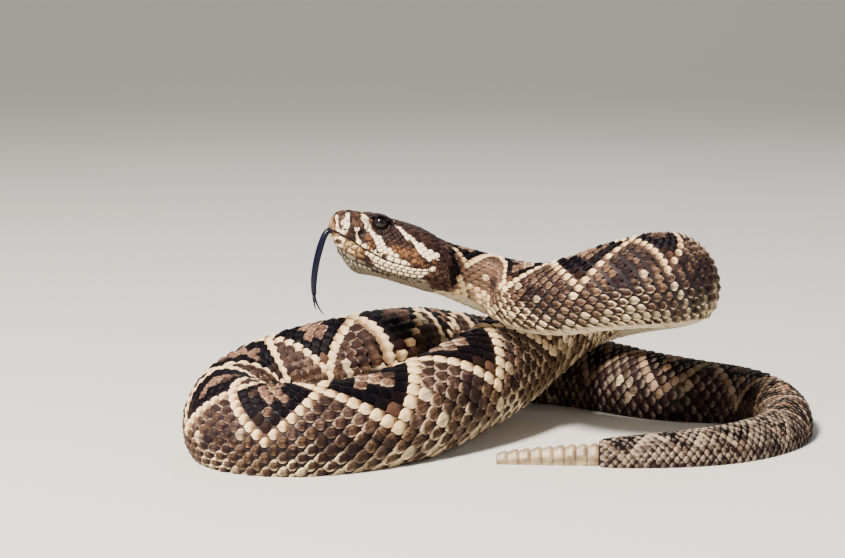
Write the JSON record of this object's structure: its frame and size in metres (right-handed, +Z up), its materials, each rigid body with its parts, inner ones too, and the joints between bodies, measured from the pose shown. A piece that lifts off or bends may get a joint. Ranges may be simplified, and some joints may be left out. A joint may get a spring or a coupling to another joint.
{
  "type": "eastern diamondback rattlesnake",
  "caption": "Still, life-size rattlesnake model resting in a loose coil, neck drawn back in a raised loop, head lifted, forked tongue out and a segmented rattle on the tail.",
  "frame": {"origin": "on the floor, under the middle of the bounding box", "axes": "+Z up; the head points along -X; the camera of the picture looks along +Y"},
  "size_m": [0.2932, 0.2163, 0.1137],
  "materials": {
    "body_scales": "keeled scales, satin: near-black diamonds with cream edges on grey-brown flanks",
    "head_scales": "small satin scales, dark eye stripe between cream lines",
    "throat_scales": "smooth satin lip scales, cream to grey-beige",
    "eye": "clear, wet-looking gloss",
    "tongue": "moist blue-black",
    "rattle": "dry horn, satin"
  },
  "bodies": {
    "root": {"head": "head_scales", "lower_jaw": "throat_scales", "eye_left": "eye", "eye_right": "eye", "tongue": "tongue", "neck": "body_scales", "body_fore": "body_scales", "loop_front": "body_scales", "loop_back": "body_scales", "body_descent": "body_scales", "coil_front": "body_scales", "coil_left": "body_scales", "coil_side": "body_scales", "coil_back": "body_scales", "body_hind": "body_scales", "tail_turn": "body_scales", "tail": "body_scales", "rattle": "rattle"}
  },
  "joints": []
}
